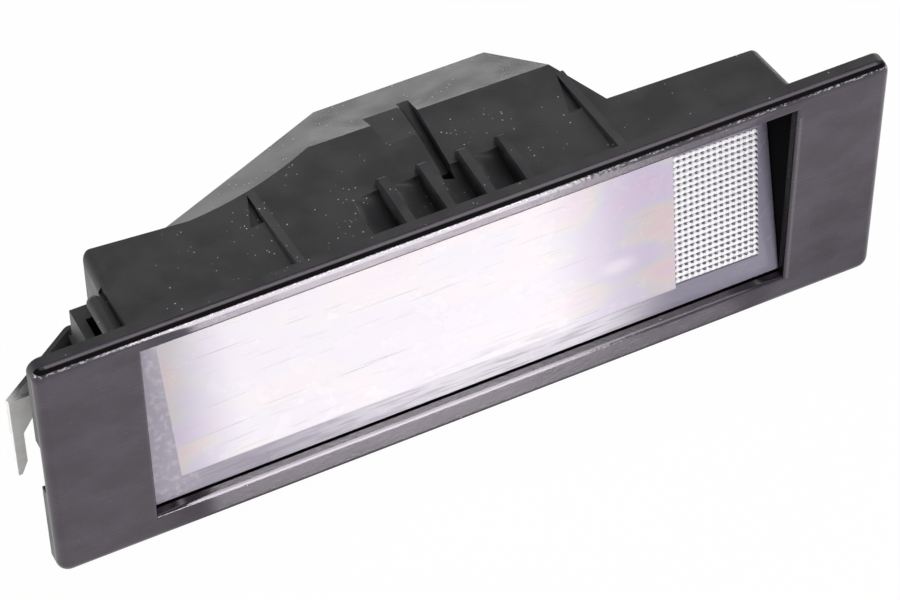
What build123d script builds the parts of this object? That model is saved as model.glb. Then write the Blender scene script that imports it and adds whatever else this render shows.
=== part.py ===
"""Snap-in number plate lamp: bezel, housing, lens, bulb with its contacts, reflector and spring clip.

Millimetres. X runs along the bezel, Y points back through the panel, Z is up. The origin is the centre
of the panel cut-out, on the flange's rear face, which seats on the panel.
"""
import os
from math import acos, atan2, cos, degrees, hypot, radians, sin, tan

from build123d import *

# Bezel and flange
BEZEL_LENGTH = 94.0
BEZEL_HEIGHT = 30.4
BEZEL_THICKNESS = 1.1
BEZEL_CORNER_RADIUS = 1.4
BEZEL_EDGE_RADIUS = 1.0
FLANGE_THICKNESS = 1.1
TOP_BAR = 2.1
BOTTOM_BAR = 3.5
SIDE_BAR = 10.9
OPENING_EDGE_RADIUS = 0.4
PRY_NOTCH_HEIGHT = 7.0
PRY_NOTCH_DEPTH = 0.8
PRY_NOTCH_RISE = 0.2

# Housing box
WALL = 1.1
BOX_TO_FLANGE_EDGE = 9.8
BOX_TO_FLANGE_TOP = 0.95
BOX_DRAFT = 3.8
BOX_EDGE_RADIUS = 1.0

# Rear outline in plan: x places, then depths behind the panel
LEFT_BLOCK_DEPTH = 12.55
LEFT_BLOCK_SLANT = 0.1
RIGHT_BLOCK_DEPTH = 7.7
RIGHT_BLOCK_SLANT = 0.03
RIM_HUMP_DEPTH = 14.75
RIM_HUMP_RIGHT_DEPTH = 14.35
BACK_HUMP_DEPTH = 22.8
RIM_SWEEP_START = -24.5
RIM_SWEEP_END = -10.9
RIM_HUMP_END = 17.1
BACK_SWEEP_START = -33.0
BACK_SWEEP_END = -6.5
BACK_HUMP_END = 13.1
HUMP_FOOT = 19.4
SWEEP_SAGITTA = 0.8
BACK_SAGITTA = 0.05
RIM_MARGIN = 0.3
BACK_LEVEL = 10.0

# Top wall features
FIN_COUNT = 4
FIN_PITCH = 4.4
FIN_CENTRE = 0.3
FIN_THICKNESS = 0.95
FIN_LENGTH = 7.4
FIN_ROUND = 0.7
FIN_BELOW_FLANGE = 0.1
FIN_POCKET_FLOOR = 12.6
FIN_POCKET_LENGTH = 6.5
FIN_POCKET_BENDS = (0.7, 0.97)
POCKET_LIFT = 0.1
POCKET_FLOOR_WALL = 1.0
POCKET_FRONT_WALL = 0.6
RIB_THICKNESS = 0.9
LEFT_RIB = -18.2
RIGHT_RIB = 17.1
LEFT_RIB_LENGTH = 12.4
RIGHT_RIB_LENGTH = 13.7
RIB_POCKET_WIDTH = 1.6
RIB_POCKET_FRONT = 7.5
RIB_POCKET_DEPTH = 0.8
RECESS_LEFT = -3.4
RECESS_RIGHT = 1.0
RECESS_FRONT = 12.0
RECESS_FALL = 11.5
SLOT_FRONT_X = 0.9
SLOT_REAR_X = 2.1
SLOT_WIDTH = 1.3
SLOT_START = 5.0
SLOT_END = 19.0
SLOT_FLOOR = 12.0
SLOT_FLOOR_WALL = 0.6
SLOT_PAD_END = 16.8

# Lens
LENS_TILT = 14.25
LENS_THICKNESS = 1.4
LENS_SIDE_LAP = 0.15
LENS_CLEARANCE = 0.1
LENS_AXIS_DEPTH = 1.9
LENS_BOTTOM = -11.4
LENS_TOP = 11.2
SEAT_THICKNESS = 0.9
SEAT_BOTTOM_LAP = 3.0
SEAT_TOP_LAP = 1.2
SEAT_SIDE_LAP = 2.0
DOT_PITCH = 0.71
DOT_COLUMNS = 14
DOT_ROWS = 22
DOT_BLOCK_X = 29.6
DOT_BLOCK_RISE = -1.2
DOT_DEPTH = 0.3
DOT_GROOVE = 0.5

# Bulb: a 36 mm tubular bulb along X
BULB_LENGTH = 36.0
BULB_CENTRE = -2.6
BULB_DEPTH = 11.6
GLASS_RADIUS = 4.6
GLASS_WALL = 0.7
CAP_RADIUS = 4.3
CAP_LENGTH = 3.2
NOSE_BASE_RADIUS = 2.6
NOSE_TIP_RADIUS = 1.5
NOSE_LENGTH = 4.0
FILAMENT_RADIUS = 0.45
FILAMENT_LENGTH = 8.0
LEAD_RADIUS = 0.2

# Contacts and connector
STRIP_THICKNESS = 0.5
BLADE_WIDTH = 2.8
BLADE_LENGTH = 6.3
BLADE_PITCH = 5.0
CONTACT_SEAT = 1.6
CONTACT_HALF_DEPTH = 4.2
CONTACT_TOP = 4.2
CONTACT_CLEARANCE = 0.1
CONTACT_FOOT_HALF_DEPTH = 2.5
CONTACT_FOOT_TOP = -7.0
SOCKET_CENTRE_X = -27.1
SOCKET_CENTRE_Z = -6.0
SOCKET_WIDTH = 6.6
SOCKET_HEIGHT = 11.6
SOCKET_DEPTH = 7.6
SOCKET_WALL = 1.2
SOCKET_FLOOR = 2.1
SOCKET_LEAD = 0.7
GUIDE_HEIGHT = 1.8
GUIDE_LENGTH = 6.0
GUIDE_THICKNESS = 1.0

# Reflector
REFLECTOR_THICKNESS = 0.5
REFLECTOR_CLEARANCE = 0.7
REFLECTOR_LEFT = -15.2
REFLECTOR_RIGHT = 9.6
REFLECTOR_TOP = 10.7
REFLECTOR_BOTTOM = -9.6
SEATING_GAP = 0.2
POST_WIDTH = 1.2
POST_HEIGHT = 4.0
POST_CENTRE = 1.0
POST_PITCH = 10.0

# Fixings: spring clip at the left, fixed lug at the right
CLIP_STRIP = 0.5
CLIP_WIDTH = 11.0
CLIP_OVERHANG = 1.0
CLIP_BARB_GAP = 4.1
CLIP_BARB_LENGTH = 2.8
CLIP_BARB_HEIGHT = 2.3
CLIP_LEG_WIDTH = 1.1
CLIP_LEG_START = 0.4
CLIP_TIP_WIDTH = 0.4
CLIP_TIP_HEIGHT = 1.7
CLIP_INNER_LEG = 6.6
CLIP_CLEARANCE = 0.05
CLIP_LEAF_BOTTOM = 0.6
BRACKET_THICKNESS = 1.0
BRACKET_GAP = 1.25
BRACKET_HEIGHT = 20.8
BRACKET_DEPTH = 8.4
TONGUE_DEPTH = 9.8
TONGUE_WIDTH = 10.6
WEB_FRONT = 6.6
WEB_BOTTOM = 6.0
RAIL_RADIUS = 0.85
RAIL_LENGTH = 7.0
RAIL_LEVEL = 12.6
RAIL_STANDOFF = 0.25
RAIL_FOOT_HEIGHT = 0.7
GROOVE_INSET = 0.2
GROOVE_WIDTH = 0.9
GROOVE_DEPTH = 1.35
GROOVE_START = 0.4
GROOVE_END = 7.0
PANEL_GRIP = 3.0
LUG_REACH = 2.6
LUG_THICKNESS = 2.2
LUG_WIDTH = 9.0

# Derived sizes
FLANGE_FRONT = -FLANGE_THICKNESS
OPENING_LENGTH = BEZEL_LENGTH - 2 * SIDE_BAR
OPENING_HEIGHT = BEZEL_HEIGHT - TOP_BAR - BOTTOM_BAR
OPENING_CENTRE = (BOTTOM_BAR - TOP_BAR) / 2
BOX_HALF_LENGTH = BEZEL_LENGTH / 2 - BOX_TO_FLANGE_EDGE
BOX_HALF_HEIGHT = BEZEL_HEIGHT / 2 - BOX_TO_FLANGE_TOP
DRAFT = tan(radians(BOX_DRAFT))
FORM_END = BACK_HUMP_DEPTH + WALL
FIN_TOP = BEZEL_HEIGHT / 2 - FIN_BELOW_FLANGE


def depth_plane(y):
    """Plane parallel to the bezel at depth y; its sketches read as X and Z, and it extrudes towards -Y."""
    return Plane.XZ.offset(-y)


def side_plane(x):
    """Plane across the lamp at x; its sketches read as Y and Z, and it extrudes towards +X."""
    return Plane.YZ.offset(x)


def wall_level(y):
    """Height of the top wall's outer face at depth y."""
    return BOX_HALF_HEIGHT - DRAFT * y


def end_wall(y):
    """Half length of the box's outer face at depth y."""
    return BOX_HALF_LENGTH - DRAFT * y


def left_depth(x):
    """Depth of the left block's rear face at x."""
    return LEFT_BLOCK_DEPTH - LEFT_BLOCK_SLANT * (x + BOX_HALF_LENGTH)


def right_depth(x):
    """Depth of the right block's rear face at x."""
    return RIGHT_BLOCK_DEPTH - RIGHT_BLOCK_SLANT * (x - HUMP_FOOT)


def plan_section(plane, sweep, hump, sagitta, inset):
    """Outline of the box on one plane: left block, sweep up to the hump, hump, and right block."""
    far = BEZEL_LENGTH
    corners = [(sweep[0], left_depth(sweep[0])), (-far, left_depth(-far)), (-far, -far), (far, -far),
               (far, right_depth(far)), (HUMP_FOOT, RIGHT_BLOCK_DEPTH), hump, sweep[1]]
    corners = [(x, y / plane.y_dir.Y) for x, y in corners]
    with BuildSketch(plane) as plan:
        with BuildLine():
            Polyline(*corners)
            SagittaArc(corners[-1], corners[0], sagitta)
        make_face()
        if inset:
            offset(amount=-inset, kind=Kind.INTERSECTION, mode=Mode.REPLACE)
    return plan.sketch


def at_box_end(edge):
    """Whether an edge of the form belongs to one of the box's two ends, behind the flange."""
    middle = edge.center()
    return middle.Y > 0 and abs(middle.X) > BOX_HALF_LENGTH - WALL


def moulded_form(inset):
    """Box with its hipped hump; inset by the wall it is the hollow inside."""
    rim_sweep = (RIM_SWEEP_START, (RIM_SWEEP_END, RIM_HUMP_DEPTH))
    rim_hump = (RIM_HUMP_END, RIM_HUMP_RIGHT_DEPTH)
    back_sweep = (BACK_SWEEP_START, (BACK_SWEEP_END, BACK_HUMP_DEPTH))
    back_hump = (BACK_HUMP_END, BACK_HUMP_DEPTH)
    rim_level = BOX_HALF_HEIGHT + RIM_MARGIN - inset * cos(radians(45))
    back_level = BACK_LEVEL - inset / 2
    top_rim = Plane((0, 0, rim_level), x_dir=(1, 0, 0), z_dir=(0, DRAFT, 1))
    bottom_rim = Plane((0, 0, -rim_level), x_dir=(1, 0, 0), z_dir=(0, -DRAFT, 1))
    sections = [plan_section(bottom_rim, rim_sweep, rim_hump, SWEEP_SAGITTA, inset),
                plan_section(Plane.XY.offset(-back_level), back_sweep, back_hump, BACK_SAGITTA, inset),
                plan_section(Plane.XY.offset(back_level), back_sweep, back_hump, BACK_SAGITTA, inset),
                plan_section(top_rim, rim_sweep, rim_hump, SWEEP_SAGITTA, inset)]
    with BuildPart() as form:
        with BuildSketch(Plane((0, FLANGE_FRONT, 0), x_dir=(1, 0, 0), z_dir=(0, 1, 0))):
            Rectangle(2 * (end_wall(FLANGE_FRONT) - inset), 2 * (wall_level(FLANGE_FRONT) - inset))
        extrude(amount=FORM_END - FLANGE_FRONT, taper=BOX_DRAFT)
        loft(sections=sections, ruled=True, mode=Mode.INTERSECT)
        if not inset:
            fillet(form.edges().filter_by(at_box_end), BOX_EDGE_RADIUS)
    return form.part


def block(x_span, y_span, z_span, mode=Mode.ADD):
    """Box between two values on each axis, for the builder that calls it."""
    spans = (x_span, y_span, z_span)
    with Locations(Vector(*[sum(span) / 2 for span in spans])):
        Box(*[max(span) - min(span) for span in spans], mode=mode)


def pocket_section(x, floor):
    """Outline of a fin pocket on the plane across the lamp at x, above the curve of its floor."""
    with BuildSketch(side_plane(x)) as section:
        with BuildLine():
            Bezier(*floor)
            Polyline(floor[-1], (FIN_POCKET_LENGTH, BEZEL_HEIGHT / 2), (0, BEZEL_HEIGHT / 2), floor[0])
        make_face()
    return section.sketch


def fin_pocket(fin_face, width):
    """Hollow that falls from the wall to the foot of the fin at its right, and curves up at its rear."""
    depths = [share * FIN_POCKET_LENGTH for share in (0, *FIN_POCKET_BENDS, 1)]
    upper = [(depth, wall_level(depth) + POCKET_LIFT) for depth in depths]
    lower = [(depth, FIN_POCKET_FLOOR) for depth in depths[:-1]] + upper[-1:]
    with BuildPart() as hollow:
        loft([pocket_section(fin_face - width, upper), pocket_section(fin_face, lower)], ruled=True)
    return hollow.part


# Lens plane: the lens's front face, leaning back towards its top edge
LENS_LEAN = radians(LENS_TILT)
LENS_PLANE = Plane((0, LENS_AXIS_DEPTH, 0), x_dir=(1, 0, 0), z_dir=(0, -cos(LENS_LEAN), sin(LENS_LEAN)))
LENS_HALF_LENGTH = OPENING_LENGTH / 2 + LENS_SIDE_LAP
LENS_LOW = LENS_BOTTOM / cos(LENS_LEAN)
LENS_HIGH = LENS_TOP / cos(LENS_LEAN)
SEAT_BACK = LENS_AXIS_DEPTH + (LENS_THICKNESS + SEAT_THICKNESS) / cos(LENS_LEAN)

# Bulb, contacts and connector
BULB_AXIS = Axis((BULB_CENTRE, BULB_DEPTH, 0), (1, 0, 0))
SHOULDER = BULB_LENGTH / 2 - NOSE_LENGTH
GLASS_END = SHOULDER - CAP_LENGTH
CONTACT_REACH = SHOULDER + CONTACT_SEAT
NOSE_TAPER = (NOSE_BASE_RADIUS - NOSE_TIP_RADIUS) / NOSE_LENGTH
CONTACT_HOLE = NOSE_BASE_RADIUS - NOSE_TAPER * CONTACT_SEAT + CONTACT_CLEARANCE
SOCKET_FRONT = BULB_DEPTH - SOCKET_LEAD
SOCKET_FLOOR_BACK = SOCKET_FRONT + SOCKET_FLOOR
SOCKET_BACK = SOCKET_FLOOR_BACK + SOCKET_DEPTH
BLADE_LEVELS = (SOCKET_CENTRE_Z + BLADE_PITCH / 2, SOCKET_CENTRE_Z - BLADE_PITCH / 2)
CONTACT_FOOT = -(wall_level(BULB_DEPTH + CONTACT_HALF_DEPTH) - WALL - SEATING_GAP)
TROUGH_RADIUS = GLASS_RADIUS + REFLECTOR_CLEARANCE

# Fixings
CLIP_REACH = BEZEL_LENGTH / 2 + CLIP_OVERHANG
BRACKET_INNER = -(BOX_HALF_LENGTH + BRACKET_GAP)
BRACKET_OUTER = BRACKET_INNER - BRACKET_THICKNESS
BEND_X = (BRACKET_INNER + BRACKET_OUTER) / 2
BEND_RADIUS = BRACKET_THICKNESS / 2 + CLIP_CLEARANCE + CLIP_STRIP / 2
BARB_DEPTH = CLIP_BARB_GAP + CLIP_STRIP / 2
BARB_RUN = hypot(CLIP_REACH + BEND_X, TONGUE_DEPTH - BARB_DEPTH)
BARB_BEARING = atan2(BARB_DEPTH - TONGUE_DEPTH, -CLIP_REACH - BEND_X) % radians(360)
LEAF_TURN = BARB_BEARING - acos(BEND_RADIUS / BARB_RUN)

with BuildPart() as front_bezel:
    with BuildSketch(depth_plane(FLANGE_FRONT)):
        RectangleRounded(BEZEL_LENGTH, BEZEL_HEIGHT, BEZEL_CORNER_RADIUS)
        with Locations((0, OPENING_CENTRE)):
            Rectangle(OPENING_LENGTH, OPENING_HEIGHT, mode=Mode.SUBTRACT)
    extrude(amount=BEZEL_THICKNESS)
    fillet(front_bezel.faces().sort_by(Axis.Y)[0].outer_wire().edges(), BEZEL_EDGE_RADIUS)
    fillet(front_bezel.faces().sort_by(Axis.Y)[0].inner_wires()[0].edges(), OPENING_EDGE_RADIUS)

# Lens seat: a frame that laps behind the lens on all sides and ends inside the walls
with BuildPart() as lens_seat:
    with BuildSketch(LENS_PLANE.offset(-LENS_THICKNESS)):
        Rectangle(BEZEL_LENGTH, BEZEL_HEIGHT)
        window_low = LENS_LOW + SEAT_BOTTOM_LAP
        window_high = LENS_HIGH - SEAT_TOP_LAP
        with Locations((0, (window_low + window_high) / 2)):
            Rectangle(2 * (LENS_HALF_LENGTH - SEAT_SIDE_LAP), window_high - window_low, mode=Mode.SUBTRACT)
    extrude(amount=-SEAT_THICKNESS)
    add(moulded_form(WALL / 2), mode=Mode.INTERSECT)

with BuildPart() as housing:
    add(moulded_form(0))
    with BuildSketch(depth_plane(0)):
        RectangleRounded(BEZEL_LENGTH, BEZEL_HEIGHT, BEZEL_CORNER_RADIUS)
    extrude(amount=FLANGE_THICKNESS)
    add(moulded_form(WALL), mode=Mode.SUBTRACT)
    add(lens_seat.part)

    # Thicker wall under the fin pockets and under the slot
    fin_gap = FIN_PITCH - FIN_THICKNESS
    first_fin = FIN_CENTRE - FIN_PITCH * (FIN_COUNT - 1) / 2
    fins = [first_fin + FIN_PITCH * count for count in range(FIN_COUNT)]
    pockets_left = fins[0] - FIN_THICKNESS / 2 - fin_gap
    block((pockets_left - WALL, fins[-1] + FIN_THICKNESS / 2), (-POCKET_FRONT_WALL, FIN_POCKET_LENGTH + WALL),
          (FIN_POCKET_FLOOR - POCKET_FLOOR_WALL, wall_level(FIN_POCKET_LENGTH) - WALL / 2))
    block((SLOT_FRONT_X - SLOT_WIDTH - WALL, SLOT_REAR_X + WALL), (SLOT_START, SLOT_PAD_END),
          (SLOT_FLOOR - SLOT_FLOOR_WALL, SLOT_FLOOR))

    # Fins on the top and bottom walls
    for fin in fins:
        for side in (1, -1):
            with BuildSketch(side_plane(fin - FIN_THICKNESS / 2)):
                Polygon((0, side * (FIN_POCKET_FLOOR - WALL / 4)), (0, side * FIN_TOP),
                        (FIN_LENGTH - FIN_ROUND, side * FIN_TOP), (FIN_LENGTH, side * (FIN_TOP - FIN_ROUND)),
                        (FIN_LENGTH, side * (wall_level(FIN_LENGTH) - WALL / 2)), align=None)
            extrude(amount=FIN_THICKNESS)

    # Long ribs that run out at the rear edge
    for rib, length in ((LEFT_RIB, LEFT_RIB_LENGTH), (RIGHT_RIB, RIGHT_RIB_LENGTH)):
        for side in (1, -1):
            with BuildSketch(side_plane(rib - RIB_THICKNESS / 2)):
                Polygon((0, side * (wall_level(0) - WALL / 2)), (0, side * FIN_TOP),
                        (length, side * wall_level(length)), (length, side * (wall_level(length) - WALL / 2)),
                        align=None)
            extrude(amount=RIB_THICKNESS)

    # Clip bracket, its webs and the rail above it
    block((BRACKET_OUTER, BRACKET_INNER), (0, BRACKET_DEPTH), (-BRACKET_HEIGHT / 2, BRACKET_HEIGHT / 2))
    block((BRACKET_OUTER, BRACKET_INNER), (0, TONGUE_DEPTH), (-TONGUE_WIDTH / 2, TONGUE_WIDTH / 2))
    for side in (1, -1):
        block((BRACKET_INNER, -end_wall(BRACKET_DEPTH)), (WEB_FRONT, BRACKET_DEPTH),
              (side * WEB_BOTTOM, side * BRACKET_HEIGHT / 2))
    rail_x = -(BOX_HALF_LENGTH + RAIL_STANDOFF)
    rail_end = RAIL_LENGTH - RAIL_RADIUS
    with BuildSketch(depth_plane(0)):
        with Locations((rail_x, RAIL_LEVEL)):
            Circle(RAIL_RADIUS)
    extrude(amount=-rail_end)
    with Locations((rail_x, rail_end, RAIL_LEVEL)):
        Sphere(RAIL_RADIUS)
    block((rail_x, WALL / 2 - BOX_HALF_LENGTH), (0, rail_end),
          (RAIL_LEVEL - RAIL_FOOT_HEIGHT / 2, RAIL_LEVEL + RAIL_FOOT_HEIGHT / 2))

    # Fixed lug at the right end
    lug_root = end_wall(PANEL_GRIP + 2 * LUG_THICKNESS)
    with BuildSketch(Plane.XY):
        Polygon((lug_root - WALL / 2, PANEL_GRIP), (BOX_HALF_LENGTH + LUG_REACH, PANEL_GRIP),
                (BOX_HALF_LENGTH + LUG_REACH, PANEL_GRIP + LUG_THICKNESS / 2),
                (lug_root - WALL / 2, PANEL_GRIP + 2 * LUG_THICKNESS), align=None)
    extrude(amount=LUG_WIDTH / 2, both=True)

    # Connector shroud, guides for the right contact and posts for the reflector
    shroud_half_width = SOCKET_WIDTH / 2 + SOCKET_WALL
    shroud_half_height = SOCKET_HEIGHT / 2 + SOCKET_WALL
    block((SOCKET_CENTRE_X - shroud_half_width, SOCKET_CENTRE_X + shroud_half_width),
          (SOCKET_FRONT, SOCKET_BACK),
          (SOCKET_CENTRE_Z - shroud_half_height, SOCKET_CENTRE_Z + shroud_half_height))
    right_upright = BULB_CENTRE + CONTACT_REACH
    guide_gap = STRIP_THICKNESS / 2 + CONTACT_CLEARANCE
    guide_root = -(wall_level(BULB_DEPTH) - WALL / 2)
    for side in (1, -1):
        block((right_upright + side * guide_gap, right_upright + side * (guide_gap + GUIDE_THICKNESS)),
              (BULB_DEPTH - GUIDE_LENGTH / 2, BULB_DEPTH + GUIDE_LENGTH / 2),
              (guide_root, guide_root + WALL / 2 + GUIDE_HEIGHT))
    post_front = BULB_DEPTH + TROUGH_RADIUS + REFLECTOR_THICKNESS + SEATING_GAP
    for post in (POST_CENTRE - POST_PITCH / 2, POST_CENTRE + POST_PITCH / 2):
        block((post - POST_WIDTH / 2, post + POST_WIDTH / 2), (post_front, BACK_HUMP_DEPTH - WALL / 2),
              (-POST_HEIGHT / 2, POST_HEIGHT / 2))

    # Rebates in the end walls for the ends of the lens
    with BuildSketch(LENS_PLANE.offset(-LENS_THICKNESS)):
        for side in (1, -1):
            with Locations((side * (LENS_HALF_LENGTH + LENS_CLEARANCE - WALL), (LENS_LOW + LENS_HIGH) / 2)):
                Rectangle(2 * WALL, LENS_HIGH - LENS_LOW + 2 * LENS_CLEARANCE)
    extrude(amount=BACK_HUMP_DEPTH, mode=Mode.SUBTRACT)

    # Pockets left of each fin, whose floors fall smoothly to the fin's foot
    for fin in fins:
        add(fin_pocket(fin - FIN_THICKNESS / 2, fin_gap), mode=Mode.SUBTRACT)

    # Shallow recess that falls away to the rear, with a deeper slot along its right side
    recess_top = wall_level(RECESS_FRONT)
    recess_bottom = recess_top - (BACK_HUMP_DEPTH - RECESS_FRONT) * tan(radians(RECESS_FALL))
    with BuildSketch(side_plane(RECESS_LEFT)):
        Polygon((RECESS_FRONT, recess_top), (BACK_HUMP_DEPTH, recess_bottom),
                (BACK_HUMP_DEPTH, BEZEL_HEIGHT / 2), (RECESS_FRONT, BEZEL_HEIGHT / 2), align=None)
    extrude(amount=RECESS_RIGHT - RECESS_LEFT, mode=Mode.SUBTRACT)
    with BuildSketch(Plane.XY.offset(SLOT_FLOOR)):
        Polygon((SLOT_FRONT_X - SLOT_WIDTH, SLOT_START), (SLOT_FRONT_X, SLOT_START),
                (SLOT_REAR_X, SLOT_END), (SLOT_REAR_X - SLOT_WIDTH, SLOT_END), align=None)
    extrude(amount=BEZEL_HEIGHT, mode=Mode.SUBTRACT)

    # Three-cornered pockets beside the long ribs
    pocket_level = wall_level(RIB_POCKET_FRONT) - RIB_POCKET_DEPTH
    for rib, length in ((LEFT_RIB, LEFT_RIB_LENGTH), (RIGHT_RIB, RIGHT_RIB_LENGTH)):
        rib_face = rib - RIB_THICKNESS / 2
        with BuildSketch(Plane.XY.offset(pocket_level)):
            Polygon((rib_face, length - 0.4), (rib_face, RIB_POCKET_FRONT + 0.2),
                    (rib_face - RIB_POCKET_WIDTH, RIB_POCKET_FRONT), align=None)
        extrude(amount=BEZEL_HEIGHT, mode=Mode.SUBTRACT)

    # Groove beside the rail, pry notch in the flange, connector socket and its blade slots
    groove_left = rail_x + GROOVE_INSET
    block((groove_left, groove_left + GROOVE_WIDTH), (GROOVE_START, GROOVE_END),
          (wall_level(0) - GROOVE_DEPTH, BEZEL_HEIGHT / 2), mode=Mode.SUBTRACT)
    block((-BEZEL_LENGTH / 2, PRY_NOTCH_DEPTH - BEZEL_LENGTH / 2), (FLANGE_FRONT, 0),
          (PRY_NOTCH_RISE - PRY_NOTCH_HEIGHT / 2, PRY_NOTCH_RISE + PRY_NOTCH_HEIGHT / 2), mode=Mode.SUBTRACT)
    block((SOCKET_CENTRE_X - SOCKET_WIDTH / 2, SOCKET_CENTRE_X + SOCKET_WIDTH / 2),
          (SOCKET_FLOOR_BACK, SOCKET_BACK),
          (SOCKET_CENTRE_Z - SOCKET_HEIGHT / 2, SOCKET_CENTRE_Z + SOCKET_HEIGHT / 2), mode=Mode.SUBTRACT)
    slot_half_width = BLADE_WIDTH / 2 + CONTACT_CLEARANCE
    for level in BLADE_LEVELS:
        block((SOCKET_CENTRE_X - slot_half_width, SOCKET_CENTRE_X + slot_half_width),
              (SOCKET_FRONT, SOCKET_FLOOR_BACK), (level - guide_gap, level + guide_gap), mode=Mode.SUBTRACT)

with BuildPart() as lens:
    with BuildSketch(LENS_PLANE):
        with Locations((0, (LENS_LOW + LENS_HIGH) / 2)):
            Rectangle(2 * LENS_HALF_LENGTH, LENS_HIGH - LENS_LOW)
    extrude(amount=-LENS_THICKNESS)

    # Block of small pyramids, left standing between crossing grooves
    block_width = DOT_PITCH * DOT_COLUMNS
    block_height = DOT_PITCH * DOT_ROWS
    dot_centre = LENS_PLANE.from_local_coords((DOT_BLOCK_X, DOT_BLOCK_RISE, 0))
    lens_up = Vector(0, sin(LENS_LEAN), cos(LENS_LEAN))
    with BuildSketch(Plane(dot_centre, x_dir=(1, 0, 0), z_dir=lens_up).offset(-block_height / 2)):
        for count in range(DOT_COLUMNS + 1):
            with Locations((DOT_PITCH * count - block_width / 2, 0)):
                Polygon((-DOT_GROOVE / 2, 0), (DOT_GROOVE / 2, 0), (0, DOT_DEPTH), align=None)
    extrude(amount=block_height, mode=Mode.SUBTRACT)
    with BuildSketch(Plane(dot_centre, x_dir=lens_up, z_dir=(-1, 0, 0)).offset(-block_width / 2)):
        for count in range(DOT_ROWS + 1):
            with Locations((DOT_PITCH * count - block_height / 2, 0)):
                Polygon((-DOT_GROOVE / 2, 0), (DOT_GROOVE / 2, 0), (0, DOT_DEPTH), align=None)
    extrude(amount=block_width, mode=Mode.SUBTRACT)

with BuildPart() as reflector:
    outer_radius = TROUGH_RADIUS + REFLECTOR_THICKNESS
    with BuildSketch(side_plane(REFLECTOR_LEFT)):
        with Locations((BULB_DEPTH, 0)):
            Circle(outer_radius)
            Circle(TROUGH_RADIUS, mode=Mode.SUBTRACT)
            Rectangle(outer_radius, 2 * outer_radius, align=(Align.MAX, Align.CENTER), mode=Mode.SUBTRACT)
        for side, reach in ((1, REFLECTOR_TOP), (-1, REFLECTOR_BOTTOM)):
            wing_end = SEAT_BACK + reach * tan(LENS_LEAN) + SEATING_GAP
            Polygon((BULB_DEPTH, side * TROUGH_RADIUS), (BULB_DEPTH, side * outer_radius),
                    (wing_end, reach), (wing_end, reach - side * REFLECTOR_THICKNESS), align=None)
    extrude(amount=REFLECTOR_RIGHT - REFLECTOR_LEFT)

with BuildPart() as bulb_glass:
    with BuildSketch(side_plane(BULB_CENTRE)):
        with Locations((BULB_DEPTH, 0)):
            Circle(GLASS_RADIUS)
            Circle(GLASS_RADIUS - GLASS_WALL, mode=Mode.SUBTRACT)
    extrude(amount=GLASS_END, both=True)


def bulb_cap(side):
    """Metal end cap with its pointed nose; side is 1 for the right end and -1 for the left."""
    with BuildPart() as cap:
        with BuildSketch():
            with Locations((BULB_CENTRE, BULB_DEPTH)):
                Polygon((side * GLASS_END, 0), (side * GLASS_END, CAP_RADIUS), (side * SHOULDER, CAP_RADIUS),
                        (side * SHOULDER, NOSE_BASE_RADIUS), (side * BULB_LENGTH / 2, NOSE_TIP_RADIUS),
                        (side * BULB_LENGTH / 2, 0), align=None)
        revolve(axis=BULB_AXIS)
    return cap.part


def contact(side, level, foot, foot_half_depth):
    """Stamped strip: blade in the socket, run along the housing, and an upright that holds a cap's nose."""
    upright = BULB_CENTRE + side * CONTACT_REACH
    thickness_span = (level - STRIP_THICKNESS / 2, level + STRIP_THICKNESS / 2)
    with BuildPart() as strip:
        block((SOCKET_CENTRE_X - BLADE_WIDTH / 2, SOCKET_CENTRE_X + BLADE_WIDTH / 2),
              (SOCKET_FRONT - BLADE_WIDTH, SOCKET_FLOOR_BACK + BLADE_LENGTH), thickness_span)
        block((SOCKET_CENTRE_X - BLADE_WIDTH / 2, upright + STRIP_THICKNESS / 2),
              (SOCKET_FRONT - BLADE_WIDTH, SOCKET_FRONT), thickness_span)
        with BuildSketch(side_plane(upright)):
            with Locations((BULB_DEPTH, (CONTACT_TOP + foot) / 2)):
                Rectangle(2 * foot_half_depth, CONTACT_TOP - foot)
            plate_low = max(foot, CONTACT_FOOT_TOP)
            with Locations((BULB_DEPTH, (CONTACT_TOP + plate_low) / 2)):
                Rectangle(2 * CONTACT_HALF_DEPTH, CONTACT_TOP - plate_low)
            with Locations((BULB_DEPTH, 0)):
                Circle(CONTACT_HOLE, mode=Mode.SUBTRACT)
        extrude(amount=STRIP_THICKNESS / 2, both=True)
    return strip.part


with BuildPart() as bulb_cap_left:
    add(bulb_cap(-1))

with BuildPart() as bulb_cap_right:
    add(bulb_cap(1))

with BuildPart() as bulb_filament:
    with BuildSketch(side_plane(BULB_CENTRE)):
        with Locations((BULB_DEPTH, 0)):
            Circle(LEAD_RADIUS)
    extrude(amount=GLASS_END, both=True)
    with BuildSketch(side_plane(BULB_CENTRE)):
        with Locations((BULB_DEPTH, 0)):
            Circle(FILAMENT_RADIUS)
    extrude(amount=FILAMENT_LENGTH / 2, both=True)

with BuildPart() as contact_left:
    add(contact(-1, BLADE_LEVELS[0], BLADE_LEVELS[0] - STRIP_THICKNESS / 2, CONTACT_HALF_DEPTH))

with BuildPart() as contact_right:
    add(contact(1, BLADE_LEVELS[1], CONTACT_FOOT, CONTACT_FOOT_HALF_DEPTH))

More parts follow.
